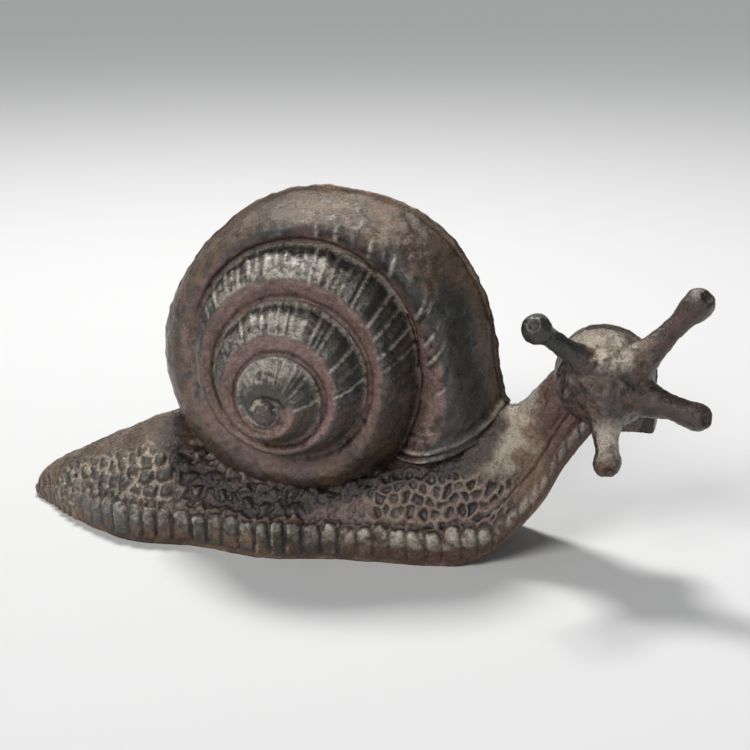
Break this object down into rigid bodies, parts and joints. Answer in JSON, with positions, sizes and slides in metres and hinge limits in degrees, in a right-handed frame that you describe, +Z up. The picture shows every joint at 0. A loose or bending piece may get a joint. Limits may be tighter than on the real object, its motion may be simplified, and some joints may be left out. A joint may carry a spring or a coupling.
{
  "type": "snail figurine",
  "caption": "Free-standing cast iron snail with a coiled shell, a ribbed foot edge, pebbled skin and knobbed tentacles, screwed together from hollow halves.",
  "frame": {"origin": "on the ground, in the parting plane of the two castings, under the middle of the coiled shell", "axes": "+X from tail to head, +Y away from the spire side, +Z up"},
  "size_m": [0.1701, 0.0597, 0.0839],
  "materials": {
    "near_iron": "coarse cast grain, rust brown stain with black green panels, mauve bloom in the treads and pale rubbed ridges, waxed",
    "far_iron": "coarse cast grain, the same stain a little greyer, waxed",
    "screw_steel": "darkened steel with rust in the slot"
  },
  "bodies": {
    "root": {"near_half": "near_iron", "far_half": "far_iron", "shell_screw": "screw_steel", "tail_screw": "screw_steel"}
  },
  "joints": []
}
